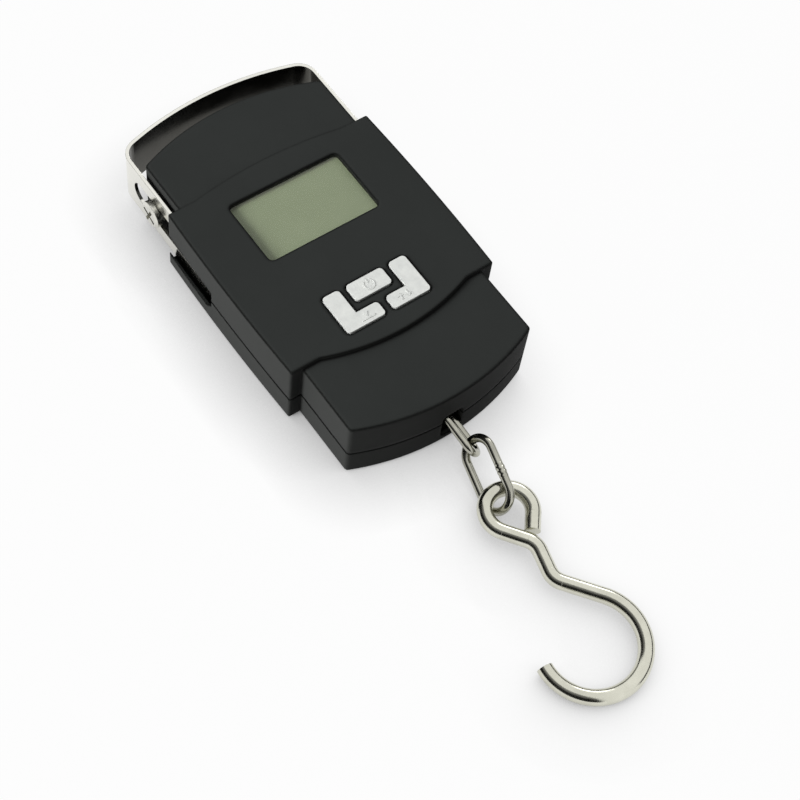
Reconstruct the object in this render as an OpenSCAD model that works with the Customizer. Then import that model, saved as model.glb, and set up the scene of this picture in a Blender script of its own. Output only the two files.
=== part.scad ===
// Hanging fish scale lying on its back: +X to the right of the display, +Y towards the handle, +Z out of the
// display. The origin is on the rear face, in the middle of the case. Sizes are in millimetres.

/* [Case] */
// Length of the case from end to end
case_len = 112; // [108:1:120]
// Width of the middle section of the case
case_w = 66; // [65:0.5:70]
// Step from the middle section in to the narrow ends, on each side
shoulder = 3.6; // [3.4:0.1:4]
// Thickness of the case at the display
case_t = 23.4; // [23:0.2:26]
// Height of the line where the two shells meet
part_z = 9.7; // [9:0.1:10.4]
// Wall of the shells
wall = 1.6; // [1.4:0.1:1.8]
// How far each end bows out past its corners
end_sag = 6.2; // [4:0.2:8]
// Corner radius of the narrow ends, seen from the front
neck_corner_r = 1.2; // [1:0.1:2]
// Length of the upper narrow end
top_len = 23.7; // [22.5:0.1:24.5]
// Length of the lower narrow end
low_len = 28; // [25:0.5:28.5]
// How far the sides of the middle section bow out
side_bow = 0.6; // [0.2:0.1:1]
// Step from the front plate down to the lower end
low_drop = 1.3; // [0.8:0.1:1.6]
// Step from the front plate down to the upper end
top_drop = 0.4; // [0.3:0.1:1]
// Rounding of the front edges
edge_r = 0.5; // [0.4:0.1:1]
// Rounding of the rear edges
back_r = 1.5; // [1:0.1:2]
// Half width of the curved lips of the front plate
lip_half = 24.5; // [20:0.5:26]
// How far the lower lip bows out below the shoulder
lip_low = 4.6; // [2:0.1:6]
// How far the upper lip bows out above the shoulder
lip_top = 2.2; // [1:0.1:4]
// Gap round anything that moves
gap = 0.35; // [0.3:0.05:0.45]
// Height and depth of the groove where the shells meet
seam = 0.35; // [0.2:0.05:0.5]

/* [Display and keys] */
// Width of the display opening
lcd_w = 36; // [32:0.5:38]
// Height of the display opening
lcd_h = 21.6; // [18:0.2:22.4]
// Middle of the display below the upper shoulder
lcd_drop = 17.3; // [16.8:0.1:17.8]
// Margin of the display panel behind the edge of its opening
lcd_margin = 3; // [2:0.1:3.2]
// Thickness of the display panel
lcd_t = 2.4; // [2:0.1:2.8]
// Thickness of the clear lens
lens_t = 0.7; // [0.5:0.1:1]
// Top edge of the keys above the lower shoulder
keys_rise = 14.9; // [14.4:0.1:15.6]
// Height of the outer keys
key_h = 13; // [12.5:0.1:13.4]
// Distance from the middle to the outer edge of the outer keys
keys_half = 13.5; // [13:0.1:15]
// Width of the upright arm of the outer keys
key_arm = 5.4; // [5:0.1:5.5]
// Height of the foot of the outer keys
key_foot = 4.5; // [4:0.1:4.7]
// Half of the gap between the feet of the outer keys
key_split = 1.3; // [1.25:0.05:2]
// Width of the middle key
mid_key_w = 11.8; // [11:0.1:12]
// Height of the middle key
mid_key_h = 5.7; // [5:0.1:5.9]
// Corner radius of the keys
key_r = 1.1; // [0.6:0.1:1.3]
// How far the keys stand out of the front
key_proud = 0.5; // [0.3:0.1:1]
// Travel of a key
key_travel = 0.4; // [0.25:0.05:0.4]

/* [Handle] */
// Thickness of the steel band
band_t = 1; // [0.8:0.1:1.2]
// Width of the steel band
band_w = 16; // [15:0.2:16.4]
// Middle of the band above the table
band_z = 12.3; // [12:0.1:12.6]
// How far the arch stands past the end of the case
arch_out = 9; // [8:0.5:12]
// Bow radius of the arch
arch_r = 95; // [80:1:120]
// Radius of the two bends beside the arch
bend_r = 6; // [5:0.2:8]
// Width of the long slots
slot_w = 7.4; // [7:0.1:7.8]
// Upper end of the slots past the handle screws
slot_up = 10.9; // [10.3:0.1:11.8]
// Outward travel of the handle
draw_out = 30; // [26:0.5:30]
// Inward travel of the handle
push_in = 6; // [4:0.5:6]
// Length of band below each slot
arm_foot = 8; // [7:0.2:9]
// Handle screws below the upper end of the case
screw_in = 14.3; // [13.8:0.1:15]
// Diameter of the head of the handle screws
screw_head_d = 8.2; // [8:0.1:9]
// Thickness of the head of the handle screws
screw_head_t = 1.75; // [1.4:0.05:2]
// Thread diameter of the handle screws
screw_thread_d = 4; // [3:0.1:4.4]

/* [Hook and chain] */
// Wire of the hook
hook_wire = 4.4; // [3.8:0.1:4.4]
// Bow radius of the hook, at the middle of the wire
hook_r = 14; // [13:0.2:15]
// Eye radius of the hook, at the middle of the wire
hook_eye_r = 6.4; // [6.4:0.1:6.8]
// Distance from the eye to the middle of the bow
hook_reach = 41.7; // [40:0.1:46]
// Bend radius in the neck of the hook
hook_bend_r = 5; // [4:0.1:5.4]
// Straight wire between the eye and the neck
hook_lead = 7; // [6:0.1:8]
// Wire of the chain link
link_wire = 2.4; // [2.2:0.1:2.4]
// Width of the chain link, at the middle of the wire
link_w = 9.4; // [9.4:0.1:10]
// Length of the chain link, at the middle of the wire
link_l = 20.9; // [20.8:0.1:21.2]
// Wire of the eye ring
ring_wire = 2.2; // [1.8:0.1:2.2]
// Width of the eye ring, at the middle of the wire
ring_w = 5.6; // [5.4:0.1:5.8]
// Length of the eye ring, at the middle of the wire
ring_l = 22.3; // [22.1:0.1:22.5]

/* [Inside] */
// Diameter of a battery
cell_d = 10.5; // [9.8:0.1:10.6]
// Length of a battery with its nub
cell_l = 44.5; // [43.5:0.1:44.6]
// Thickness of the circuit board
board_t = 1.6; // [1.2:0.1:1.8]
// Top face of the circuit board below the front of the case
board_drop = 7.2; // [7:0.1:7.4]
// Gap between the circuit board and the side walls
board_side = 3.9; // [3.5:0.1:4.4]
// Thickness of the steel hanger strap
strap_t = 1.4; // [1:0.1:1.6]
// Width of the arms of the hanger strap
strap_w = 10; // [9:0.2:11]
// Half width of the load cell
cell_half = 11; // [10:0.2:12]
// Thickness of the load cell
cell_t = 7; // [6.4:0.1:7.2]

/* [Hidden] */
$fn = 96;

// Case
neck_w = case_w - 2 * shoulder;
wide_top = case_len / 2 - top_len;
wide_low = low_len - case_len / 2;
fit = 0.05;
skin = 0.02;
over = 1;
end_r = (pow(neck_w / 2, 2) + pow(end_sag, 2)) / (2 * end_sag);
front_in = case_t - wall;
low_in = case_t - max(low_drop, top_drop) - wall;
block_overlap = 8;
corner_r = 0.5;
side_steps = 6;
lip_sink = 0.2;

// Handle and the channels that its arms run in
screw_y = case_len / 2 - screw_in;
slot_top = screw_y + slot_up;
arch_y = case_len / 2 + arch_out;
channel_wall = 1.15;
channel_out = case_w / 2 - channel_wall;
band_out = channel_out - gap + fit;
band_in = band_out - band_t;
slot_low = screw_y - draw_out - slot_w / 2;
arm_end = slot_low - arm_foot;
channel_low = arm_end - push_in - 2 * gap;
channel_z0 = band_z - band_w / 2 - gap;
channel_z1 = band_z + band_w / 2 + gap;
window_l = 22.7;
window_low = wide_top - window_l;
window_z0 = 5.3;
window_z1 = 13.8;
window_bevel = 2.2;
window_rim = 0.4;
window_slope = 3;
shoulder_d = slot_w - 2 * 0.3;

// Display stack
board_z = case_t - board_drop;
lcd_y = wide_top - lcd_drop;
lens_z = front_in + fit;
panel_z = front_in - fit - lcd_t;
panel_w = lcd_w + 2 * lcd_margin;
panel_h = lcd_h + 2 * lcd_margin;
frame_wall = 2;
frame_rim = 1;
frame_in_h = panel_h + 2 * (frame_rim - frame_wall);
strip_w = 2.2;
chip_side = 2.8;
chip_drop = 4.7;
chip_w = 6.5;
chip_h = 3.5;
chip_t = 1.5;
lcd_r = 1.6;

// Keys
keys_top = wide_low + keys_rise;
flange = 0.85;
key_pocket = keys_half + flange + gap;
flange_t = 0.65;
flange_z = front_in - gap - flange_t;
switch_w = 6;
switch_h = 2.9;
switch_stem = 0.5;
switch_top = board_z + switch_h + switch_stem;
stem_d = 3.4;
key_arm_x = keys_half - key_arm / 2;
key_mid_y = keys_top - key_h / 2;
key_centres = [[-key_arm_x, key_mid_y], [0, keys_top - mid_key_h / 2], [key_arm_x, key_mid_y]];

// Board, its bosses and its screws
board_past_low = 3;
board_past_top = 3.7;
board_half = neck_w / 2 - wall - board_side;
board_low = wide_low - board_past_low;
board_high = wide_top + board_past_top;
boss_in = 3.3;
boss_side = 3;
boss_x = board_half - boss_side;
board_bosses = [for (x = [-boss_x, boss_x], y = [board_low + boss_in, board_high - boss_in]) [x, y]];
boss_d = 5;
board_screw_d = 1.9;
board_head_d = 4;
board_head_t = 1.2;
board_screw_grip = 3.6;

// Screws that hold the two shells together
top_post_side = 10;
top_post_in = 8.5;
low_post_side = 8;
low_post_in = 18;
top_post = [neck_w / 2 - top_post_side, case_len / 2 - top_post_in];
low_post = [neck_w / 2 - low_post_side, low_post_in - case_len / 2];
case_posts = [for (s = [-1, 1]) each [[s * top_post[0], top_post[1]], [s * low_post[0], low_post[1]]]];
post_d = 7;
case_screw_d = 2.4;
case_head_d = 5;
case_head_t = 1.8;
case_head_z = 1.4;
case_screw_top = 17;

// Battery bay and its door
bay_in = 5;
bay_half = 12;
contact_t = 0.4;
contact_bump = 1.3;
bump_d = 6;
bay_high = case_len / 2 - bay_in;
bay_low = bay_high - cell_l - 2 * (contact_t + contact_bump + fit);
cell_x = cell_d / 2 + gap;
cell_z = wall + 0.3 + cell_d / 2;
bay_wall = 1.2;
bay_wall_top = 5.8;
nub_d = 3.8;
nub_l = 0.8;
door_low = bay_low + 1.5;
door_high = bay_high - 1.5;
door_half = 11.6;
door_z0 = 0.1;
door_t = 1.4;
tab_w = 1.6;
tab_z0 = wall + gap;
tab_t = 0.55;
tab_reach = 1.1;
grip_count = 5;
grip_l = 13;
grip_w = 1.1;
grip_pitch = 2.2;
grip_in = 3.6;
grip_depth = 0.45;

// Load train: strap, cell, lug, ring, link and hook
strap_out = neck_w / 2 - wall - 0.3;
strap_high = screw_y + strap_w / 2;
strap_foot_t = 2;
cell_in = 16;
cell_span = 27;
cell_low = cell_in - case_len / 2;
cell_high = cell_low + cell_span;
strap_low = cell_high;
cell_z0 = 6;
cell_mid_z = cell_z0 + cell_t / 2;
cell_slot = 2;
cell_slot_inset = 5;
cell_hole_d = 9;
gauge_t = 0.3;
gauge_w = 2.4;
gauge_l = 3.2;
gauge_off = 2.6;
ribbon_w = 4;
plug_w = 4;
plug_room = 1.5;
plug_l = 6;
gauge_x = cell_hole_d / 2 + gauge_w;
plug_x = boss_x - board_head_d / 2 - plug_room - plug_w;
ribbon_l = plug_x - gauge_x - gauge_w / 2;
bolt_d = 4;
bolt_head_d = 7;
bolt_head_t = 2.2;
bolt_depth = 5;
bolt_room = 0.3;
ring_in = 8.8;
ring_y = ring_in - case_len / 2;
ring_z = 9.7;
ring_yaw = 3.5;
ring_droop = 12.8;
ring_roll = 53;
lug_t = 1.2;
lug_rim = 1.4;
lug_roll = 32;
lug_play = 0.5;
lug_hole_d = 5.2;
lug_hole_y = ring_y + ring_w / 2 - lug_play;
lug_low = lug_hole_y - lug_hole_d / 2 - lug_rim;
lug_half = lug_hole_d / 2 + lug_rim;
exit_x = 0.35;
exit_half = 3.4;
exit_r = 1.6;
exit_z0 = 2.9;
exit_z1 = 13;
link_out = 26.15;
link_at = [-0.3, ring_y - link_out, 6];
link_turn = [8.2, -55.2, -12.6];
hook_below = 37.3;
hook_at = [-1.5, ring_y - hook_below, 4.9];
hook_turn = [2.7, -1, -6.3];

// Directions of the hook's wire in its own plane: out of the eye, along the neck and into the bow
hook_out = -47;
hook_neck = -97;
hook_in = -46;
hook_eye_sweep = 256;
hook_tail = 5;
hook_bow_sweep = 225;
rod_seat = 0.25;

// Rounded rectangle about the origin
module rrect(w, h, r) {
    square([w - 2 * r, h], center = true);
    square([w, h - 2 * r], center = true);
    for (x = [-1, 1], y = [-1, 1]) translate([x * (w / 2 - r), y * (h / 2 - r)]) circle(r);
}

// Band from y0 up to a bowed end, with both corners rounded
module bowed_end(half, apex, r, corner, y0) {
    middle = apex - r;
    cx = half - corner;
    cy = middle + sqrt(pow(r - corner, 2) - cx * cx);
    reach = 6 * corner;
    lean = (cy - middle) / cx;
    difference() {
        intersection() {
            translate([-half, y0]) square([2 * half, apex - y0]);
            translate([0, middle]) circle(r, $fn = 240);
        }
        for (s = [-1, 1])
            polygon([[s * cx, cy], [s * (cx + reach), cy], [s * (cx + reach), cy + reach * lean]]);
    }
    for (s = [-1, 1]) translate([s * cx, cy]) circle(corner, $fn = 48);
}

// Plan of one narrow end, drawn in by an inset
module neck_half(inset, y0) {
    bowed_end(neck_w / 2 - inset, case_len / 2 - inset, end_r - inset, max(neck_corner_r - inset, 0.5), y0);
}

// Plan of the middle section with its bowed sides
module wide_plan(inset) {
    mid = (wide_top + wide_low) / 2;
    half = (wide_top - wide_low) / 2 - inset;
    side = [for (k = [-side_steps:side_steps])
        let (t = k / side_steps) [case_w / 2 - inset + side_bow * (1 - t * t), mid + t * half]];
    offset(r = corner_r) offset(delta = -corner_r)
        polygon(concat(side, [for (k = [2 * side_steps:-1:0]) [-side[k][0], side[k][1]]]));
}

// Solid with its upper edge rounded; the child is a plan that reads $inset
module round_front(z0, z1, r) {
    hull() {
        translate([0, 0, z0]) linear_extrude(z1 - r - z0) let ($inset = 0) children();
        for (a = [18:18:90])
            translate([0, 0, z1 - r + r * sin(a) - skin]) linear_extrude(skin)
                let ($inset = r * (1 - cos(a))) children();
    }
}

// Curved lip of the front plate past a shoulder, pointing along +Y from the shoulder
module lip_plan(bulge) {
    r = (lip_half * lip_half + bulge * bulge) / (2 * bulge);
    intersection() {
        translate([0, bulge - r - lip_sink]) circle(r, $fn = 240);
        translate([-lip_half, -over]) square([2 * lip_half, bulge + 2 * over]);
    }
}

// Plan of the space between the narrow end walls
module hollow_plan() {
    half = neck_w / 2 - wall;
    for (s = [0, 1]) mirror([0, s]) intersection() {
        translate([-half, -over]) square([2 * half, case_len / 2 + over]);
        translate([0, case_len / 2 - end_r]) circle(end_r - wall, $fn = 240);
    }
}

// Groove round the foot of the front shell
module seam_groove() {
    translate([0, 0, part_z - over]) linear_extrude(over + seam) difference() {
        square([2 * case_w, 2 * case_len], center = true);
        wide_plan(seam);
        neck_half(seam, 0);
        mirror([0, 1]) neck_half(seam, 0);
    }
}

// Everything that is cut from both shells: channels, side windows, end hole and screw holes
module shared_cuts() {
    for (s = [0, 1]) mirror([s, 0]) {
        translate([neck_w / 2 + fit, channel_low, channel_z0])
            cube([channel_out - neck_w / 2 - fit, wide_top - channel_low + over, channel_z1 - channel_z0]);
        translate([channel_out - over, 0, 0]) rotate([90, 0, 90]) linear_extrude(channel_wall + 2 * over)
            polygon([[window_low + window_bevel, window_z0], [wide_top + over, window_z0],
                [wide_top + over, window_z1], [window_low, window_z1],
                [window_low, window_z0 + window_bevel]]);
        translate([0, wide_top + over, 0]) rotate([90, 0, 0]) linear_extrude(window_l + over - window_bevel)
            polygon([[channel_out - over, window_z0 - window_slope], [channel_out, window_z0 - window_slope],
                [case_w / 2 - window_rim, window_z0], [case_w / 2 - window_rim, window_z0 + over],
                [channel_out - over, window_z0 + over]]);
        translate([neck_w / 2 - wall - over, screw_y, band_z]) rotate([0, 90, 0])
            cylinder(h = wall + 2 * over, d = screw_thread_d + 0.3);
    }
    translate([exit_x, -case_len / 2 + 2 * wall + over, (exit_z0 + exit_z1) / 2]) rotate([90, 0, 0])
        linear_extrude(2 * wall + 3 * over) rrect(2 * exit_half, exit_z1 - exit_z0, exit_r);
}

// Plan of an outer key, drawn out by a margin, on the left side
module outer_key_plan(margin) {
    foot_w = keys_half - key_split;
    translate([-key_arm_x, keys_top - key_h / 2])
        rrect(key_arm + 2 * margin, key_h + 2 * margin, key_r + margin);
    translate([-keys_half + foot_w / 2, keys_top - key_h + key_foot / 2])
        rrect(foot_w + 2 * margin, key_foot + 2 * margin, key_r + margin);
}

// Plan of the middle key, drawn out by a margin
module middle_key_plan(margin) {
    translate([0, keys_top - mid_key_h / 2])
        rrect(mid_key_w + 2 * margin, mid_key_h + 2 * margin, key_r + margin);
}

// Cap, flange and stem of a key; the child is its plan and reads $margin
module key_solid(centre) {
    translate([0, 0, flange_z + flange_t]) linear_extrude(case_t + key_proud - flange_z - flange_t)
        let ($margin = 0) children();
    translate([0, 0, flange_z]) linear_extrude(flange_t) let ($margin = flange) children();
    translate([centre[0], centre[1], switch_top + key_travel + fit])
        cylinder(h = flange_z - switch_top - key_travel - fit, d = stem_d);
}

module front_case() {
    color("#2f3130") difference() {
        union() {
            difference() {
                union() {
                    round_front(part_z, case_t, edge_r) wide_plan($inset);
                    round_front(part_z, case_t - top_drop, edge_r)
                        neck_half($inset, wide_top - block_overlap);
                    round_front(part_z, case_t - low_drop, edge_r)
                        mirror([0, 1]) neck_half($inset, -wide_low - block_overlap);
                    translate([0, wide_top, front_in]) linear_extrude(wall) lip_plan(lip_top);
                    translate([0, wide_low, front_in]) mirror([0, 1]) linear_extrude(wall) lip_plan(lip_low);
                }
                translate([0, 0, part_z - over]) linear_extrude(low_in - part_z + over) hollow_plan();
                translate([0, (wide_top + wide_low) / 2, low_in - over])
                    linear_extrude(front_in - low_in + over)
                    square([neck_w - 2 * wall, wide_top - wide_low - 2 * wall], center = true);
                translate([-key_pocket, keys_top - key_h - flange - gap, low_in - over])
                    cube([2 * key_pocket, key_h, front_in - low_in + over]);
            }
            for (p = board_bosses) translate([p[0], p[1], board_z])
                cylinder(h = front_in - board_z, d = boss_d);
            for (p = case_posts) translate([p[0], p[1], part_z])
                cylinder(h = low_in - part_z + fit, d = post_d);
        }
        shared_cuts();
        seam_groove();
        translate([0, lcd_y, front_in - over]) linear_extrude(wall + 2 * over) rrect(lcd_w, lcd_h, lcd_r);
        for (s = [0, 1]) translate([0, 0, front_in - over]) mirror([s, 0])
            linear_extrude(wall + 2 * over) outer_key_plan(gap);
        translate([0, 0, front_in - over]) linear_extrude(wall + 2 * over) middle_key_plan(gap);
        for (p = board_bosses) translate([p[0], p[1], board_z - over])
            cylinder(h = front_in - board_z, d = board_screw_d + 2 * fit);
        for (p = case_posts) translate([p[0], p[1], part_z - over])
            cylinder(h = case_screw_top - part_z + 2 * over, d = case_screw_d + 2 * fit);
    }
}

module rear_case() {
    bay_l = bay_high - bay_low;
    color("#242625") difference() {
        union() {
            difference() {
                translate([0, 0, part_z]) mirror([0, 0, 1]) union() {
                    round_front(0, part_z, back_r) wide_plan($inset);
                    round_front(0, part_z, back_r) {
                        neck_half($inset, 0);
                        mirror([0, 1]) neck_half($inset, 0);
                    }
                }
                translate([0, 0, wall]) linear_extrude(part_z) hollow_plan();
            }
            translate([0, (bay_low + bay_high) / 2, wall - fit])
                linear_extrude(bay_wall_top - wall + fit) difference() {
                square([2 * (bay_half + bay_wall), bay_l + 2 * bay_wall], center = true);
                square([2 * bay_half, bay_l], center = true);
            }
            for (p = case_posts) translate([p[0], p[1], wall - fit])
                cylinder(h = part_z - wall + fit, d = post_d);
        }
        shared_cuts();
        translate([-door_half, door_low, -over])
            cube([2 * door_half, door_high - door_low, wall + 2 * over]);
        for (p = case_posts) translate([p[0], p[1], -over]) {
            cylinder(h = part_z + 2 * over, d = case_screw_d + 0.3);
            cylinder(h = case_head_z + case_head_t + over, d = case_head_d + 0.4);
        }
    }
}

module battery_door() {
    half = door_half - gap;
    color("#262827") {
        difference() {
            translate([-half, door_low + gap, door_z0])
                cube([2 * half, door_high - door_low - 2 * gap, door_t]);
            for (i = [0 : grip_count - 1])
                translate([-grip_l / 2, door_low + grip_in + i * grip_pitch, door_z0 - over])
                    cube([grip_l, grip_w, over + grip_depth]);
        }
        for (x = [-half + tab_w / 2, 0, half - tab_w / 2]) {
            translate([x - tab_w / 2, door_high - gap - 1.6, door_z0 + door_t])
                cube([tab_w, 1.6, tab_z0 + tab_t - door_z0 - door_t]);
            translate([x - tab_w / 2, door_high - gap - 1.6, tab_z0]) cube([tab_w, 1.6 + tab_reach, tab_t]);
        }
    }
}

module lcd_lens() {
    color("#b7c0b0", 0.5) translate([0, lcd_y, lens_z]) linear_extrude(lens_t)
        rrect(lcd_w - 2 * fit, lcd_h - 2 * fit, lcd_r - fit);
}

module lcd_panel() {
    color("#88937a") translate([-panel_w / 2, lcd_y - panel_h / 2, panel_z]) cube([panel_w, panel_h, lcd_t]);
}

module lcd_frame() {
    color("#d8d8d2") translate([0, lcd_y, board_z]) linear_extrude(panel_z - board_z) difference() {
        square([panel_w + 2 * frame_rim, panel_h + 2 * frame_rim], center = true);
        square([panel_w + 2 * frame_rim - 2 * frame_wall, frame_in_h], center = true);
    }
}

module contact_strip() {
    strip_l = panel_w + 2 * frame_rim - 2 * frame_wall - 1;
    color("#a8a39a") translate([-strip_l / 2, lcd_y - panel_h / 2 - frame_rim + frame_wall + 0.2, board_z])
        cube([strip_l, strip_w, panel_z - board_z]);
}

module circuit_board() {
    color("#1f6b3a") translate([0, 0, board_z - board_t]) linear_extrude(board_t) difference() {
        translate([-board_half, board_low]) square([2 * board_half, board_high - board_low]);
        for (p = board_bosses) translate(p) circle(d = board_screw_d + 0.3);
    }
}

module controller_chip() {
    chip_y = lcd_y - panel_h / 2 - frame_rim - chip_drop;
    color("#15171a") translate([-board_half + chip_side, chip_y, board_z])
        cube([chip_w, chip_h, chip_t]);
}

module key_switches() {
    color("#3a3a3a") for (p = key_centres) translate([p[0], p[1], board_z]) {
        translate([-switch_w / 2, -switch_w / 2, 0]) cube([switch_w, switch_w, switch_h]);
        cylinder(h = switch_h + switch_stem, d = stem_d);
    }
}

module key_left() {
    color("#d9dbd8") key_solid(key_centres[0]) outer_key_plan($margin);
}

module key_right() {
    color("#d9dbd8") mirror([1, 0, 0]) key_solid(key_centres[0]) outer_key_plan($margin);
}

module key_centre() {
    color("#d9dbd8") key_solid(key_centres[1]) middle_key_plan($margin);
}

// Outline of the band seen from the front
module band_plan() {
    difference() {
        bowed_end(band_out, arch_y, arch_r, bend_r, arm_end);
        bowed_end(band_in, arch_y - band_t, arch_r - band_t, bend_r - band_t, arm_end - over);
    }
}

module handle() {
    color("#c9cac6") difference() {
        translate([0, 0, band_z - band_w / 2]) linear_extrude(band_w) band_plan();
        for (s = [0, 1]) mirror([s, 0]) translate([band_in - over, 0, band_z]) rotate([90, 0, 90])
            linear_extrude(band_t + 2 * over) translate([(slot_top + slot_low) / 2, 0])
                rrect(slot_top - slot_low, slot_w, slot_w / 2 - skin);
    }
}

module handle_screws() {
    head_x = band_out + 0.3;
    thread_x = neck_w / 2 - wall - 0.3 - strap_t - 0.2;
    color("#b9bab6") for (s = [0, 1]) mirror([s, 0])
        translate([0, screw_y, band_z]) rotate([0, 90, 0]) difference() {
        union() {
            translate([0, 0, thread_x]) cylinder(h = neck_w / 2 + fit - thread_x, d = screw_thread_d);
            translate([0, 0, neck_w / 2 + fit]) cylinder(h = head_x - neck_w / 2 - fit, d = shoulder_d);
            translate([0, 0, head_x]) cylinder(h = screw_head_t - 0.5, d = screw_head_d);
            translate([0, 0, head_x + screw_head_t - 0.5])
                cylinder(h = 0.5, d1 = screw_head_d, d2 = screw_head_d - 1.6);
        }
        for (a = [0, 90]) rotate([0, 0, a + 25]) translate([-2.8, -0.5, head_x + screw_head_t - 1.1])
            cube([5.6, 1, 2]);
    }
}

module hanger_frame() {
    color("#9fa3a6") difference() {
        union() {
            for (s = [0, 1]) mirror([s, 0]) translate([strap_out - strap_t, strap_low, band_z - strap_w / 2])
                cube([strap_t, strap_high - strap_low, strap_w]);
            translate([-strap_out, strap_low, cell_z0]) cube([2 * strap_out, strap_foot_t, cell_t + 0.4]);
        }
        for (s = [0, 1]) mirror([s, 0])
            translate([strap_out - strap_t - over, screw_y, band_z]) rotate([0, 90, 0])
            cylinder(h = strap_t + 2 * over, d = screw_thread_d + 2 * fit);
        translate([0, strap_low - over, cell_mid_z]) rotate([-90, 0, 0])
            cylinder(h = strap_foot_t + 2 * over, d = bolt_d + 2 * fit);
    }
}

module load_cell() {
    mid = (cell_high + cell_low) / 2;
    slot_l = 2 * cell_half - cell_slot_inset + over;
    slot_from_end = 6;
    color("#b4b8bc") difference() {
        translate([-cell_half, cell_low, cell_z0]) cube([2 * cell_half, cell_high - cell_low, cell_t]);
        translate([-cell_half - over, cell_high - slot_from_end - cell_slot, cell_z0 - over])
            cube([slot_l, cell_slot, cell_t + 2 * over]);
        translate([cell_half + over - slot_l, cell_low + slot_from_end, cell_z0 - over])
            cube([slot_l, cell_slot, cell_t + 2 * over]);
        translate([0, mid, cell_z0 - over]) cylinder(h = cell_t + 2 * over, d = cell_hole_d);
        translate([0, cell_high - bolt_depth, cell_mid_z]) rotate([-90, 0, 0])
            cylinder(h = bolt_depth + over, d = bolt_d + 2 * fit);
        translate([0, cell_low - over, cell_mid_z]) rotate([-90, 0, 0])
            cylinder(h = bolt_depth + over, d = bolt_d + 2 * fit);
    }
}

// Four gauges beside the round hole of the cell
module strain_gauges() {
    mid = (cell_high + cell_low) / 2;
    color("#c98a3a") for (x = [-1, 1], y = [-1, 1])
        translate([x * gauge_x - gauge_w / 2, mid + y * gauge_off - gauge_l / 2, cell_z0 + cell_t])
            cube([gauge_w, gauge_l, gauge_t]);
}

module gauge_ribbon() {
    mid = (cell_high + cell_low) / 2;
    color("#d9d2c0") translate([gauge_x + gauge_w / 2, mid - ribbon_w / 2, cell_z0 + cell_t])
        cube([ribbon_l, ribbon_w, gauge_t]);
}

module cell_plug() {
    mid = (cell_high + cell_low) / 2;
    low = cell_z0 + cell_t - 0.6;
    color("#efeee8") translate([plug_x, mid - plug_l / 2, low])
        cube([plug_w, plug_l, board_z - board_t - low]);
}

module cell_bolt() {
    color("#8c8f92") translate([0, 0, cell_mid_z]) rotate([-90, 0, 0]) {
        translate([0, 0, strap_low - bolt_depth + bolt_room])
            cylinder(h = strap_foot_t + bolt_depth - bolt_room, d = bolt_d);
        translate([0, 0, strap_low + strap_foot_t]) difference() {
            cylinder(h = bolt_head_t, d = bolt_head_d);
            translate([0, 0, bolt_head_t - 1.2]) cylinder(h = 2, d = 3.5, $fn = 6);
        }
    }
}

module pull_lug() {
    color("#a9acae") translate([0, 0, cell_mid_z]) rotate([0, lug_roll, 0]) difference() {
        union() {
            translate([-lug_t / 2, lug_low, -lug_half]) cube([lug_t, cell_low - lug_low, 2 * lug_half]);
            translate([0, cell_low - fit, 0]) rotate([-90, 0, 0])
                cylinder(h = bolt_depth - bolt_room, d = bolt_d);
        }
        translate([-lug_t, lug_hole_y, 0]) rotate([0, 90, 0]) cylinder(h = 2 * lug_t, d = lug_hole_d);
    }
}

// Closed oval of wire about the origin, long way along Y
module wire_oval(w, l, d) {
    run = l - w;
    for (s = [0, 1]) rotate([0, 0, 180 * s]) {
        translate([0, run / 2, 0]) rotate_extrude(angle = 180) translate([w / 2, 0]) circle(d = d);
        translate([w / 2, -run / 2, 0]) rotate([-90, 0, 0]) cylinder(h = run, d = d);
    }
}

module eye_ring() {
    color("#cfd0cb") translate([0, ring_y, ring_z]) rotate([0, 0, ring_yaw]) rotate([ring_droop, 0, 0])
        rotate([0, ring_roll, 0])
        translate([0, ring_w / 2 - ring_l / 2, 0]) wire_oval(ring_w, ring_l, ring_wire);
}

module chain_link() {
    color("#cfd0cb") translate(link_at) rotate([0, 0, link_turn[2]]) rotate([link_turn[0], 0, 0])
        rotate([0, link_turn[1], 0]) wire_oval(link_w, link_l, link_wire);
}

// Direction and left-hand normal of a heading in the hook's plane
function heading(a) = [cos(a), sin(a)];
function left_of(a) = [-sin(a), cos(a)];

// Piece of round wire on an arc from one angle to another
module wire_arc(centre, r, from, sweep) {
    translate([centre[0], centre[1], 0]) rotate([0, 0, from]) rotate_extrude(angle = sweep)
        translate([r, 0]) circle(d = hook_wire);
}

// Straight piece of round wire along a heading, a hair thinner than the bends that its ends run into
module wire_rod(start, angle, l) {
    translate([start[0], start[1], 0]) rotate([0, 0, angle]) rotate([0, 90, 0])
        translate([0, 0, -rod_seat]) cylinder(h = l + 2 * rod_seat, d = hook_wire - 2 * skin);
}

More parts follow.
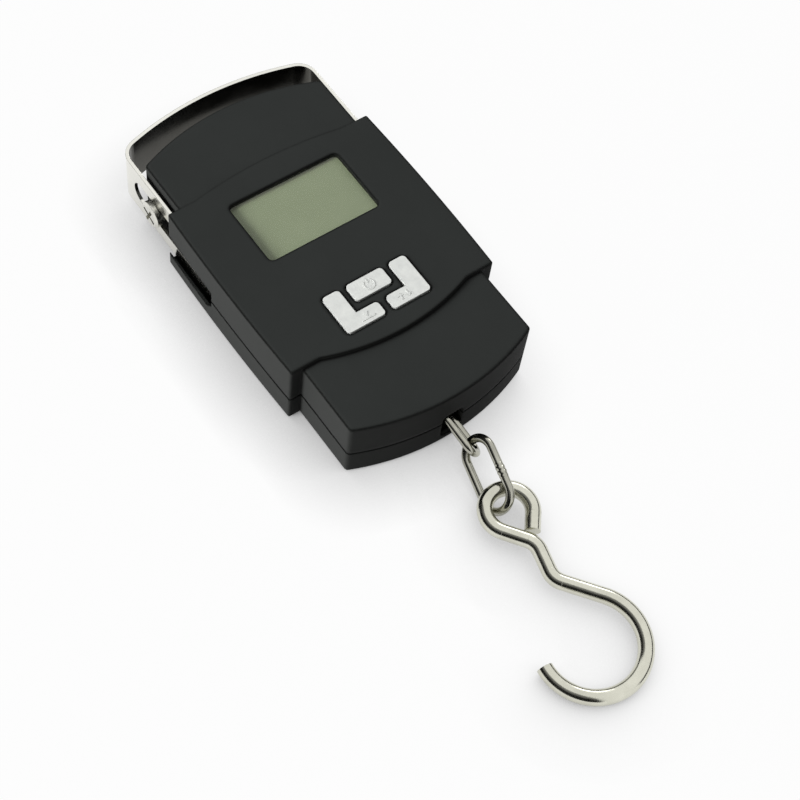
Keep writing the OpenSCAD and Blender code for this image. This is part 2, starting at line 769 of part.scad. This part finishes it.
// Wire bent in one plane: eye, two bends of the neck, then the bow, with the two straights solved to close it
module hook() {
    bow = [0, -hook_reach];
    eye_from = hook_out - 90 - hook_eye_sweep;
    eye_end = -hook_eye_r * left_of(hook_out);
    bow_start = bow + hook_r * left_of(hook_in);
    bend_1 = hook_bend_r * (left_of(hook_neck) - left_of(hook_out));
    bend_2 = hook_bend_r * (left_of(hook_neck) - left_of(hook_in));
    rest = bow_start - eye_end - hook_lead * heading(hook_out) - bend_1 - bend_2;
    cross = heading(hook_neck)[0] * heading(hook_in)[1] - heading(hook_neck)[1] * heading(hook_in)[0];
    neck_l = (rest[0] * heading(hook_in)[1] - rest[1] * heading(hook_in)[0]) / cross;
    run_in = (heading(hook_neck)[0] * rest[1] - heading(hook_neck)[1] * rest[0]) / cross;
    p1 = eye_end + hook_lead * heading(hook_out);
    p2 = p1 + bend_1;
    p3 = p2 + neck_l * heading(hook_neck);
    p4 = p3 + bend_2;
    color("#cdcec8") translate(hook_at) rotate([0, 0, hook_turn[2]]) rotate([hook_turn[0], 0, 0])
        rotate([0, hook_turn[1], 0]) {
            wire_rod(hook_eye_r * heading(eye_from), eye_from - 90, hook_tail);
            wire_arc([0, 0], hook_eye_r, eye_from, hook_eye_sweep);
            wire_rod(eye_end, hook_out, hook_lead);
            wire_arc(p1 - hook_bend_r * left_of(hook_out), hook_bend_r, hook_neck + 90, hook_out - hook_neck);
            wire_rod(p2, hook_neck, neck_l);
            wire_arc(p3 + hook_bend_r * left_of(hook_neck), hook_bend_r, hook_neck - 90, hook_in - hook_neck);
            wire_rod(p4, hook_in, run_in);
            wire_arc(bow, hook_r, hook_in + 90 - hook_bow_sweep, hook_bow_sweep);
        }
}

// One battery along Y, with its nub at the upper end
module battery() {
    translate([0, -cell_l / 2, 0]) rotate([-90, 0, 0]) {
        cylinder(h = cell_l - nub_l, d = cell_d);
        cylinder(h = cell_l, d = nub_d);
    }
}

module battery_left() {
    color("#3f6fa8") translate([-cell_x, (bay_low + bay_high) / 2, cell_z]) battery();
}

module battery_right() {
    color("#3f6fa8") translate([cell_x, (bay_low + bay_high) / 2, cell_z]) rotate([0, 0, 180]) battery();
}

// Spring plates: one across both cells at the foot, and one for each cell at the head
module battery_contacts() {
    plate_h = 9;
    plate_half = 10.5;
    plate_z = cell_z - plate_h / 2;
    color("#cbbf9a") {
        translate([-plate_half, bay_low, plate_z]) cube([2 * plate_half, contact_t, plate_h]);
        for (s = [-1, 1]) {
            translate([s * (plate_half + 1) / 2 - (plate_half - 1) / 2, bay_high - contact_t, plate_z])
                cube([plate_half - 1, contact_t, plate_h]);
            translate([s * cell_x, bay_low + contact_t, cell_z]) rotate([-90, 0, 0])
                cylinder(h = contact_bump, d1 = bump_d, d2 = bump_d - 1.5 * contact_bump);
            translate([s * cell_x, bay_high - contact_t, cell_z]) rotate([90, 0, 0])
                cylinder(h = contact_bump, d1 = bump_d, d2 = bump_d - 1.5 * contact_bump);
        }
    }
}

module case_screws() {
    color("#55585a") for (p = case_posts) translate([p[0], p[1], case_head_z]) {
        difference() {
            cylinder(h = case_head_t, d = case_head_d);
            for (a = [0, 90]) rotate([0, 0, a]) translate([-1.5, -0.35, -over]) cube([3, 0.7, over + 0.9]);
        }
        cylinder(h = case_screw_top - case_head_z, d = case_screw_d);
    }
}

module board_screws() {
    color("#7d8082") for (p = board_bosses) translate([p[0], p[1], board_z - board_t - board_head_t]) {
        cylinder(h = board_head_t, d = board_head_d);
        cylinder(h = board_head_t + board_t + board_screw_grip, d = board_screw_d);
    }
}

front_case();
rear_case();
battery_door();
lcd_lens();
lcd_panel();
lcd_frame();
contact_strip();
circuit_board();
controller_chip();
key_switches();
cell_plug();
key_left();
key_centre();
key_right();
handle();
handle_screws();
hanger_frame();
load_cell();
strain_gauges();
gauge_ribbon();
cell_bolt();
pull_lug();
eye_ring();
chain_link();
hook();
battery_left();
battery_right();
battery_contacts();
case_screws();
board_screws();
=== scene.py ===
import math

import bmesh
import bpy
from mathutils import Matrix, Vector


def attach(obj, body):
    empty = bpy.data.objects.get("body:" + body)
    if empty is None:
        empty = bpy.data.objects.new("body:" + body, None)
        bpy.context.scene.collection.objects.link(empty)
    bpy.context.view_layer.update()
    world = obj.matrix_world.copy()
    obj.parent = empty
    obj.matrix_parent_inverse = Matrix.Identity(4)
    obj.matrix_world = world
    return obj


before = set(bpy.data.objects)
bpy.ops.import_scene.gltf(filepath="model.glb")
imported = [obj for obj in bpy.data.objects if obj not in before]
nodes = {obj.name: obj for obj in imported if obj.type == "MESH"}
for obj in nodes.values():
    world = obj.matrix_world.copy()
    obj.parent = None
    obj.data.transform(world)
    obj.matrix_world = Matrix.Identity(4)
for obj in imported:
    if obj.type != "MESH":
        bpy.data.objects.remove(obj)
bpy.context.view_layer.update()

MM = 0.001

# Places that the dressing shares with the solids, in millimetres
LCD_TOP_Y = 25.8
KEY_TOP = 23.9
HANDLE_MIDDLE_Y = 25.0
LINK_MIDDLE = (-0.3, -73.35, 6.0)
LINK_TURN = (8.2, -55.2, -12.6)
LINK_WIDTH = 9.4
LINK_WIRE = 2.4
SEAM_Z = 9.85


def linear(hex_colour):
    """An sRGB hex colour as linear RGBA."""
    parts = [int(hex_colour[i:i + 2], 16) / 255 for i in (1, 3, 5)]
    return [p / 12.92 if p <= 0.04045 else ((p + 0.055) / 1.055) ** 2.4 for p in parts] + [1.0]


def add(tree, kind, values=None, links=None, **settings):
    """Adds a node with its settings, its socket values and its incoming links."""
    node = tree.nodes.new(kind)
    for name, value in settings.items():
        setattr(node, name, value)
    for socket, value in (values or {}).items():
        node.inputs[socket].default_value = value
    for socket, source in (links or {}).items():
        tree.links.new(source, node.inputs[socket])
    return node


def blank_material(name):
    """A new node material with its shader and the object's own coordinates, which are in metres."""
    material = bpy.data.materials.new(name)
    material.use_nodes = True
    tree = material.node_tree
    shader = tree.nodes["Principled BSDF"]
    place = add(tree, "ShaderNodeTexCoord").outputs["Object"]
    return material, tree, shader, place


def surface(name, dark, light, rough, grain_mm, depth_mm, patch_mm=9.0, edge_mm=0.0, metallic=0.0, ior=1.5):
    """A finish with patches between two close tones, uneven gloss and a fine relief.
    The sizes are real ones: the width of a grain, its depth, the width of a patch and the rounding of edges."""
    material, tree, shader, place = blank_material(name)
    patches = add(tree, "ShaderNodeTexNoise", {"Scale": 1 / (patch_mm * MM), "Detail": 4.0, "Roughness": 0.6},
                  {"Vector": place})
    tone = add(tree, "ShaderNodeValToRGB", links={"Fac": patches.outputs["Fac"]})
    tone.color_ramp.elements[0].position = 0.3
    tone.color_ramp.elements[0].color = linear(dark)
    tone.color_ramp.elements[1].position = 0.7
    tone.color_ramp.elements[1].color = linear(light)
    tree.links.new(tone.outputs["Color"], shader.inputs["Base Color"])
    grain = add(tree, "ShaderNodeTexNoise", {"Scale": 1 / (grain_mm * MM), "Detail": 2.0, "Roughness": 0.5},
                {"Vector": place})
    gloss = add(tree, "ShaderNodeMapRange",
                {"From Min": 0.3, "From Max": 0.7, "To Min": rough[0], "To Max": rough[1]},
                {"Value": patches.outputs["Fac"]})
    tree.links.new(gloss.outputs["Result"], shader.inputs["Roughness"])
    relief = add(tree, "ShaderNodeBump", {"Strength": 1.0, "Distance": depth_mm * MM},
                 {"Height": grain.outputs["Fac"]})
    if edge_mm:
        soft_edge = add(tree, "ShaderNodeBevel", {"Radius": edge_mm * MM}, samples=8)
        tree.links.new(soft_edge.outputs["Normal"], relief.inputs["Normal"])
    tree.links.new(relief.outputs["Normal"], shader.inputs["Normal"])
    shader.inputs["Metallic"].default_value = metallic
    shader.inputs["IOR"].default_value = ior
    return material, tree, shader, place, relief


def tint(tree, shader, colour, share):
    """Mixes a colour over the shader's base colour where the share is high."""
    under = shader.inputs["Base Color"].links[0].from_socket
    mix = add(tree, "ShaderNodeMix", {"B": linear(colour)}, {"Factor": share, "A": under}, data_type="RGBA")
    tree.links.new(mix.outputs["Result"], shader.inputs["Base Color"])


def moulding(name, dark, light, rough, depth_mm):
    """Moulded plastic with painted light and shade: its sides are painted greyer, as painted light; its lower end,
    its rounded edges, its creases and its parting line are painted darker, as painted shade."""
    grain_mm, patch_mm, edge_mm, seam_mm, seam_fade_mm, crease_mm = 0.45, 30.0, 1.6, 0.3, 0.12, 1.4
    material, tree, shader, place, relief = surface(
        name, dark, light, rough, grain_mm, depth_mm, patch_mm, edge_mm)
    rolled_over_edges = relief.inputs["Normal"].links[0].from_socket
    facing = add(tree, "ShaderNodeSeparateXYZ", links={"Vector": rolled_over_edges})
    # painted light: faces turned sideways are tinted greyer, for the light they catch
    side_light_painted = add(tree, "ShaderNodeMath", links={0: facing.outputs["X"]}, operation="ABSOLUTE")
    tint(tree, shader, "#2e2f2e", side_light_painted.outputs[0])
    # painted shade: faces turned towards the lower end are tinted darker
    end_shade_painted = add(tree, "ShaderNodeMath", {1: -1.0}, {0: facing.outputs["Y"]}, operation="MULTIPLY")
    tint(tree, shader, "#1d1e1d", end_shade_painted.outputs[0])
    # painted shade: rounded edges, where the normal lies between upright and level, are tinted near black
    upright = add(tree, "ShaderNodeMath", links={0: facing.outputs["Z"], 1: facing.outputs["Z"]},
                  operation="MULTIPLY")
    flat = add(tree, "ShaderNodeMath", {0: 1.0}, {1: upright.outputs[0]}, operation="SUBTRACT")
    slope = add(tree, "ShaderNodeMath", links={0: upright.outputs[0], 1: flat.outputs[0]}, operation="MULTIPLY")
    edge_shade_painted = add(tree, "ShaderNodeMapRange", {"From Min": 0.07, "From Max": 0.23}, {"Value": slope.outputs[0]})
    tint(tree, shader, "#0a0b0a", edge_shade_painted.outputs["Result"])
    # painted shade: a near-black band along the parting line, for the shade in the gap between the shells
    height = add(tree, "ShaderNodeSeparateXYZ", links={"Vector": place})
    off_seam = add(tree, "ShaderNodeMath", {1: SEAM_Z * MM}, {0: height.outputs["Z"]}, operation="SUBTRACT")
    from_seam = add(tree, "ShaderNodeMath", links={0: off_seam.outputs[0]}, operation="ABSOLUTE")
    seam_shade_painted = add(tree, "ShaderNodeMapRange", {"From Min": (seam_mm + seam_fade_mm) * MM, "From Max": seam_mm * MM},
               {"Value": from_seam.outputs[0]})
    tint(tree, shader, "#070807", seam_shade_painted.outputs["Result"])
    # painted shade: creases and corners, found by ambient occlusion, are tinted near black
    open_face = add(tree, "ShaderNodeAmbientOcclusion", {"Distance": crease_mm * MM}, samples=4)
    crease_shade_painted = add(tree, "ShaderNodeMapRange", {"From Min": 0.8, "From Max": 0.4}, {"Value": open_face.outputs["AO"]})
    tint(tree, shader, "#040504", crease_shade_painted.outputs["Result"])
    shader.inputs["Specular IOR Level"].default_value = 0.1
    return material


# Charcoal ABS moulded against a spark-eroded mould: an even, fine matt grain with a soft sheen.
# The real grain is about 0.2 mm wide; it is drawn at 0.45 mm so that it shows.
moulded_abs = moulding("moulded_abs", "#272928", "#2b2d2c", (0.7, 0.78), 0.012)

# The same ABS on the rear shell and its door, a shade duller from lying on benches.
moulded_abs_rear = moulding("moulded_abs_rear", "#272928", "#2c2e2d", (0.72, 0.8), 0.014)

# Silver metallic lacquer over moulded keys: fine flakes of about 0.1 mm, drawn at 0.3 mm, under a satin coat.
silver_lacquer, tree, shader, place, _ = surface(
    "silver_lacquer", "#c6c8c5", "#d6d8d4", (0.36, 0.48), 0.3, 0.006, 3.0, 0.25, metallic=0.25)
flakes = add(tree, "ShaderNodeTexVoronoi", {"Scale": 1 / (0.3 * MM)}, {"Vector": place})
sparkle = add(tree, "ShaderNodeMapRange", {"To Min": 0.1, "To Max": 0.5}, {"Value": flakes.outputs["Color"]})
tree.links.new(sparkle.outputs["Result"], shader.inputs["Metallic"])

# Cold-rolled stainless strip, polished lengthwise: bright, with very fine lines along the band.
# The lines are about 0.05 mm apart; they are drawn at 0.25 mm so that they show.
polished_strip, tree, shader, place, relief = surface(
    "polished_strip", "#e4e3db", "#eeede5", (0.12, 0.22), 0.8, 0.004, 12.0, 0.18, metallic=1.0)
along = add(tree, "ShaderNodeMapping", {"Scale": (0.02, 0.02, 1.0)}, {"Vector": place})
lines = add(tree, "ShaderNodeTexNoise", {"Scale": 1 / (0.25 * MM), "Detail": 2.0},
            {"Vector": along.outputs["Vector"]})
drawn = add(tree, "ShaderNodeBump", {"Strength": 0.6, "Distance": 0.003 * MM},
            {"Height": lines.outputs["Fac"], "Normal": relief.outputs["Normal"]})
tree.links.new(drawn.outputs["Normal"], shader.inputs["Normal"])
# The face towards the case is tinted dark grey: painted shade, for the dark gap between band and case that it faces
# and mirrors.
inward = add(tree, "ShaderNodeVectorMath", {1: (0, HANDLE_MIDDLE_Y * MM, 0)}, {0: place}, operation="SUBTRACT")
facing = add(tree, "ShaderNodeNewGeometry").outputs["Normal"]
towards = add(tree, "ShaderNodeVectorMath", links={0: inward.outputs["Vector"], 1: facing}, operation="DOT_PRODUCT")
inner_face_shade_painted = add(tree, "ShaderNodeMapRange", {"From Min": -0.01, "From Max": -0.02}, {"Value": towards.outputs["Value"]})
tint(tree, shader, "#5d5c57", inner_face_shade_painted.outputs["Result"])

# Drawn stainless wire, bent and barrel polished: mirror-like, with a slight orange peel from tumbling.
# The hook's thicker wire has a coarser peel than the ring's and the link's; their wire is a darker copy of the same
# steel, as painted shade.
tumbled_wire_painted_shade, *_ = surface("tumbled_wire_painted_shade", "#a3a297", "#bbbaae", (0.1, 0.19), 0.9, 0.006, 4.0, 0.1, metallic=1.0)
tumbled_hook, *_ = surface("tumbled_hook", "#c8c7b9", "#dcdbcd", (0.13, 0.22), 1.4, 0.008, 7.0, 0.15, metallic=1.0)

# Bright nickel plate on turned screws: mirror-like, with a faint warm cast and fine tool marks.
nickel_plate, *_ = surface("nickel_plate", "#d6d5cd", "#e3e2da", (0.14, 0.26), 0.4, 0.004, 2.0, 0.12, metallic=1.0)

# Rear polariser of a twisted-nematic display, switched off: even greenish grey, greyer along its upper rim,
# where the opening shades it.
lcd_polariser, tree, shader, place, _ = surface(
    "lcd_polariser", "#879273", "#8d9879", (0.3, 0.36), 0.3, 0.002, 20.0)
across = add(tree, "ShaderNodeSeparateXYZ", links={"Vector": place})
rim = add(tree, "ShaderNodeMapRange",
          {"From Min": (LCD_TOP_Y - 1.2) * MM, "From Max": LCD_TOP_Y * MM}, {"Value": across.outputs["Y"]})
tint(tree, shader, "#7e7d72", rim.outputs["Result"])

# Clear acrylic window: thin enough that only its reflections show.
clear_acrylic, tree, shader, *_ = surface(
    "clear_acrylic", "#5b6054", "#62675b", (0.1, 0.16), 6.0, 0.004, 12.0, ior=1.49)
shader.inputs["Alpha"].default_value = 0.1

# Pieces inside the case.
# Green solder mask over a glass-cloth board: glossy, mottled by the cloth and the copper beneath.
solder_mask, *_ = surface("solder_mask", "#17552d", "#1f6b3a", (0.3, 0.4), 0.8, 0.02, 1.6)
# White ABS, moulded: even and slightly milky.
moulded_white, *_ = surface("moulded_white", "#d2d2cc", "#dcdcd6", (0.45, 0.55), 0.4, 0.01, 6.0)
# Silicone rubber in conducting and clear layers: matt grey-brown.
layered_rubber, *_ = surface("layered_rubber", "#6f6a62", "#7d776e", (0.6, 0.7), 0.3, 0.01, 1.0)
# Filled epoxy resin, moulded round a chip: near black with a dull, fine grain.
epoxy_resin, *_ = surface("epoxy_resin", "#16171a", "#1d1e21", (0.5, 0.62), 0.2, 0.01, 2.0)
# Glass-filled nylon of the switches and unfilled nylon of the plug: satin, with flow marks.
switch_nylon, *_ = surface("switch_nylon", "#303030", "#3a3a3a", (0.45, 0.55), 0.3, 0.01, 2.0)
plug_nylon, *_ = surface("plug_nylon", "#e6e5de", "#efeee8", (0.4, 0.5), 0.4, 0.01, 2.0)
# Zinc plate on pressed steel: bluish grey, uneven in its gloss.
zinc_plate, *_ = surface("zinc_plate", "#989b9d", "#a9acae", (0.28, 0.42), 0.6, 0.01, 3.0, 0.15, metallic=1.0)
# Aluminium alloy, milled: pale grey with a fine satin.
milled_alloy, *_ = surface("milled_alloy", "#b2b5b8", "#c0c3c6", (0.3, 0.4), 0.5, 0.01, 4.0, 0.15, metallic=1.0)
# Polyimide film of the gauges and their lead: amber and glossy.
polyimide_film, *_ = surface("polyimide_film", "#bd7f33", "#cd9042", (0.25, 0.35), 0.4, 0.004, 2.0)
# Shrunk plastic sleeve of the cells: glossy blue with slight ripples.
shrink_sleeve, *_ = surface("shrink_sleeve", "#37639a", "#416fa6", (0.22, 0.32), 1.5, 0.01, 8.0)
# Nickel-plated spring brass of the contacts: warm and bright.
spring_plate, *_ = surface("spring_plate", "#c4b891", "#d2c7a2", (0.2, 0.3), 0.5, 0.006, 3.0, 0.1, metallic=1.0)

finishes = {
    "front_case": moulded_abs, "rear_case": moulded_abs_rear, "battery_door": moulded_abs_rear,
    "lcd_lens": clear_acrylic, "lcd_panel": lcd_polariser, "lcd_frame": moulded_white,
    "contact_strip": layered_rubber, "circuit_board": solder_mask, "controller_chip": epoxy_resin,
    "key_switches": switch_nylon, "cell_plug": plug_nylon, "key_left": silver_lacquer,
    "key_centre": silver_lacquer, "key_right": silver_lacquer, "handle": polished_strip,
    "handle_screws": nickel_plate, "hanger_frame": zinc_plate, "load_cell": milled_alloy,
    "strain_gauges": polyimide_film, "gauge_ribbon": polyimide_film, "cell_bolt": nickel_plate,
    "pull_lug": zinc_plate, "eye_ring": tumbled_wire_painted_shade, "chain_link": tumbled_wire_painted_shade, "hook": tumbled_hook,
    "battery_left": shrink_sleeve, "battery_right": shrink_sleeve, "battery_contacts": spring_plate,
    "case_screws": nickel_plate, "board_screws": nickel_plate,
}
for name, finish in finishes.items():
    nodes[name].data.materials.clear()
    nodes[name].data.materials.append(finish)


def arc(radius, start, end, steps):
    """Points on a circle about the origin, from one angle to another in degrees."""
    angles = [math.radians(start + (end - start) * i / steps) for i in range(steps + 1)]
    return [(radius * math.cos(t), radius * math.sin(t)) for t in angles]


def raised_sign(name, body, outlines, middle):
    """A sign moulded proud of a key's face: flat outlines in millimetres about a middle, with chamfered rims."""
    sink, proud, chamfer = 0.05, 0.14, 0.05
    mesh = bpy.data.meshes.new(name)
    shape = bmesh.new()
    for outline in outlines:
        foot = [shape.verts.new((middle[0] + x, middle[1] + y, KEY_TOP - sink)) for x, y in outline]
        top = [shape.verts.new((middle[0] + x, middle[1] + y, KEY_TOP + proud)) for x, y in outline]
        count = len(outline)
        shape.faces.new(foot[::-1])
        shape.faces.new(top)
        for i in range(count):
            j = (i + 1) % count
            shape.faces.new((foot[i], foot[j], top[j], top[i]))
    shape.normal_update()
    rims = [e for e in shape.edges if all(v.co.z > KEY_TOP for v in e.verts)]
    bmesh.ops.bevel(shape, geom=rims, offset=chamfer, segments=2, affect="EDGES", profile=0.5)
    bmesh.ops.recalc_face_normals(shape, faces=shape.faces)
    bmesh.ops.scale(shape, vec=(MM, MM, MM), verts=shape.verts)
    shape.to_mesh(mesh)
    shape.free()
    mesh.materials.append(silver_lacquer)
    sign = bpy.data.objects.new(name, mesh)
    bpy.context.scene.collection.objects.link(sign)
    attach(sign, body)


def bar(x, y, width, height):
    """A rectangle about a middle, counter-clockwise."""
    return [(x - width / 2, y - height / 2), (x + width / 2, y - height / 2),
            (x + width / 2, y + height / 2), (x - width / 2, y + height / 2)]


# Plain signs in place of words: a switch sign, a level with a pointer, and two arrows for changing units
raised_sign("switch_sign", "key_centre",
            [arc(1.75, 125, 415, 28) + arc(1.3, 415, 125, 28), bar(0, 1.25, 0.45, 1.5)], (0, -16.05))
raised_sign("level_sign", "key_left",
            [bar(0, -0.95, 4.2, 0.45), [(0, -0.4), (0.85, 1.05), (-0.85, 1.05)]], (-6.1, -23.85))
raised_sign("units_sign", "key_right",
            [[(-0.9, -1.1), (-0.9, 0.1), (-0.2, 0.1), (-1.15, 1.1), (-2.1, 0.1), (-1.4, 0.1), (-1.4, -1.1)],
             [(0.9, 1.1), (0.9, -0.1), (0.2, -0.1), (1.15, -1.1), (2.1, -0.1), (1.4, -0.1), (1.4, 1.1)]],
            (6.1, -23.85))


def weld_collar(name, along_mm, length_mm):
    """The butt weld in one leg of the link: a lumpy collar that swells round the wire and sinks back into it."""
    rings, sides = 28, 28
    radius, swell, lump, sink = LINK_WIRE / 2, 0.2, 0.09, 0.08
    mesh = bpy.data.meshes.new(name)
    shape = bmesh.new()
    loops = []
    for i in range(rings + 1):
        part = i / rings
        rise = math.sin(math.pi * part) ** 0.6
        loop = []
        for k in range(sides):
            angle = 2 * math.pi * k / sides
            beads = math.sin(7 * math.pi * part + 1.3 * math.sin(2 * angle)) * (0.6 + 0.4 * math.cos(angle - 0.8))
            out = radius - sink + rise * (sink + swell * (0.55 + 0.45 * math.cos(angle - 0.8)) + lump * beads)
            loop.append(shape.verts.new((LINK_WIDTH / 2 + out * math.cos(angle), along_mm + (part - 0.5) * length_mm,
                                         out * math.sin(angle))))
        loops.append(loop)
    for low, high in zip(loops, loops[1:]):
        for k in range(sides):
            j = (k + 1) % sides
            shape.faces.new((low[k], high[k], high[j], low[j]))
    shape.faces.new(loops[0])
    shape.faces.new(loops[-1][::-1])
    tilt, lean, yaw = (math.radians(a) for a in LINK_TURN)
    turn = Matrix.Rotation(yaw, 4, "Z") @ Matrix.Rotation(tilt, 4, "X") @ Matrix.Rotation(lean, 4, "Y")
    bmesh.ops.transform(shape, matrix=Matrix.Scale(MM, 4) @ Matrix.Translation(LINK_MIDDLE) @ turn, verts=shape.verts)
    bmesh.ops.recalc_face_normals(shape, faces=shape.faces)
    for face in shape.faces:
        face.smooth = len(face.verts) == 4
    shape.to_mesh(mesh)
    shape.free()
    mesh.materials.append(tumbled_wire_painted_shade)
    collar = bpy.data.objects.new(name, mesh)
    bpy.context.scene.collection.objects.link(collar)
    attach(collar, "link")


weld_collar("link_weld", -1.2, 4.6)

# Camera at the photograph's angle, turned a little about its own axis
camera_data = bpy.data.cameras.new("camera")
camera_target_mm = (-13.72, -49.62, 23.3)
camera_distance_mm = 469.53
camera_data.sensor_width = 36.0
camera_data.lens = 81.79
camera = bpy.data.objects.new("camera", camera_data)
bpy.context.scene.collection.objects.link(camera)
bpy.context.scene.camera = camera
azimuth, elevation, roll = (math.radians(a) for a in (-43.50, 58.98, 9.27))
back = Vector((math.sin(azimuth) * math.cos(elevation), -math.cos(azimuth) * math.cos(elevation),
               math.sin(elevation)))
level_right = Vector((0, 0, 1)).cross(back).normalized()
level_up = back.cross(level_right)
right = math.cos(roll) * level_right + math.sin(roll) * level_up
up = math.cos(roll) * level_up - math.sin(roll) * level_right
look = Matrix((right, up, back)).transposed().to_4x4()
look.translation = Vector(camera_target_mm) * MM + back * camera_distance_mm * MM
camera.matrix_world = look


def background_rays(tree):
    """One for the rays that see the background: the camera's, mirrored ones and those through clear pieces."""
    ray = add(tree, "ShaderNodeLightPath")
    mirrored = add(tree, "ShaderNodeMath", links={0: ray.outputs["Is Camera Ray"], 1: ray.outputs["Is Glossy Ray"]},
                   operation="MAXIMUM")
    clear = add(tree, "ShaderNodeMath", links={0: mirrored.outputs[0], 1: ray.outputs["Is Transmission Ray"]},
                operation="MAXIMUM")
    return clear.outputs[0]


# White table, brighter where nothing stands close to it: a shadow painted from ambient occlusion, tilted so that the
# shade falls away from the back lamp
shade_reach_m, shade_power, open_share = 0.02, 0.75, 0.97
floor_material, tree, shader, _ = blank_material("white_table")
shader.inputs["Base Color"].default_value = linear("#8c8c8c")
shader.inputs["Roughness"].default_value = 0.9
shader.inputs["Specular IOR Level"].default_value = 0.1
towards_light = add(tree, "ShaderNodeCombineXYZ", {"X": 0.4, "Y": 0.15, "Z": 0.9})
open_floor = add(tree, "ShaderNodeAmbientOcclusion", {"Distance": shade_reach_m},
                 {"Normal": towards_light.outputs["Vector"]}, samples=8)
shaded = add(tree, "ShaderNodeMath", {1: shade_power}, {0: open_floor.outputs["AO"]}, operation="POWER")
bright = add(tree, "ShaderNodeMath", {1: open_share}, {0: shaded.outputs[0]}, operation="MULTIPLY")
paper = add(tree, "ShaderNodeEmission", {"Color": (1, 1, 1, 1), "Strength": 1.0})
share = add(tree, "ShaderNodeMath", links={0: bright.outputs[0], 1: background_rays(tree)}, operation="MULTIPLY")
lit = add(tree, "ShaderNodeMixShader", links={0: share.outputs[0], 1: shader.outputs[0], 2: paper.outputs[0]})
tree.links.new(lit.outputs[0], tree.nodes["Material Output"].inputs["Surface"])
floor_mesh = bpy.data.meshes.new("table")
shape = bmesh.new()
bmesh.ops.create_grid(shape, x_segments=8, y_segments=8, size=3.0)
shape.to_mesh(floor_mesh)
shape.free()
floor_mesh.materials.append(floor_material)
table = bpy.data.objects.new("table", floor_mesh)
table.location = (0, 0, -0.05 * MM)
bpy.context.scene.collection.objects.link(table)

# Soft studio light: a dome that is lighter on the key lamp's side, and white wherever it is seen
world = bpy.data.worlds.new("studio")
bpy.context.scene.world = world
world.use_nodes = True
tree = world.node_tree
tree.nodes.clear()
direction = add(tree, "ShaderNodeTexCoord").outputs["Generated"]
toward_light = add(tree, "ShaderNodeVectorMath", {1: (-0.75, 0.4, 0.53)}, {0: direction}, operation="DOT_PRODUCT")
dome = add(tree, "ShaderNodeMapRange", {"From Min": -1.0, "From Max": 1.0, "To Min": 0.14, "To Max": 0.66},
           {"Value": toward_light.outputs["Value"]})
soft = add(tree, "ShaderNodeBackground", {"Color": (1, 1, 1, 1)}, {"Strength": dome.outputs["Result"]})
white = add(tree, "ShaderNodeBackground", {"Color": (1, 1, 1, 1), "Strength": 1.0})
seen = add(tree, "ShaderNodeMixShader", links={0: background_rays(tree), 1: soft.outputs[0], 2: white.outputs[0]})
add(tree, "ShaderNodeOutputWorld", links={"Surface": seen.outputs[0]})


def softbox(name, place_m, target_m, size_m, watts, mirrored):
    """A square lamp at a place, facing a target, that shows in mirrors or not."""
    data = bpy.data.lights.new(name, "AREA")
    data.shape = "SQUARE"
    data.size = size_m
    data.energy = watts
    lamp = bpy.data.objects.new(name, data)
    bpy.context.scene.collection.objects.link(lamp)
    lamp.location = place_m
    lamp.visible_glossy = mirrored
    lamp.rotation_euler = (Vector(place_m) - Vector(target_m)).to_track_quat("Z", "Y").to_euler()


softbox("key_softbox", (-0.85, 0.11, 0.4), (0, 0, 0), 0.4, 14.5, False)
softbox("back_softbox", (0.75, 0.5, 0.5), (0, -0.03, 0), 0.4, 1.0, True)

# Dark flags of the studio, greyer towards their tops: they give the steel its dark streaks and light nothing else
flag_material, tree, _, place = blank_material("grey_flag")
rise = add(tree, "ShaderNodeSeparateXYZ", links={"Vector": place})
shade = add(tree, "ShaderNodeMapRange", {"From Min": 0.75, "From Max": 1.2, "To Min": 0.01, "To Max": 0.3},
            {"Value": rise.outputs["Z"]})
graded = add(tree, "ShaderNodeEmission", links={"Strength": shade.outputs["Result"]})
tree.links.new(graded.outputs[0], tree.nodes["Material Output"].inputs["Surface"])


def flag(name, bearings, rises):
    """A dark sheet on a large sphere between two bearings and two heights in degrees, seen by mirrors only."""
    columns, rows, reach = 24, 10, 1.3
    mesh = bpy.data.meshes.new(name)
    shape = bmesh.new()
    grid = []
    for r in range(rows + 1):
        rise = math.radians(rises[0] + (rises[1] - rises[0]) * r / rows)
        grid.append([shape.verts.new((x * math.cos(rise), y * math.cos(rise), reach * math.sin(rise)))
                     for x, y in arc(reach, *bearings, columns)])
    for low, high in zip(grid, grid[1:]):
        for c in range(columns):
            shape.faces.new((low[c], low[c + 1], high[c + 1], high[c]))
    shape.to_mesh(mesh)
    shape.free()
    mesh.materials.append(flag_material)
    sheet = bpy.data.objects.new(name, mesh)
    bpy.context.scene.collection.objects.link(sheet)
    sheet.visible_camera = False
    sheet.visible_diffuse = False
    sheet.visible_shadow = False
    sheet.visible_transmission = False


flag("near_flag", (104, 255), (2, 67))
flag("far_flag", (-60, 104), (1, 18))

bpy.context.scene.view_settings.view_transform = "Standard"
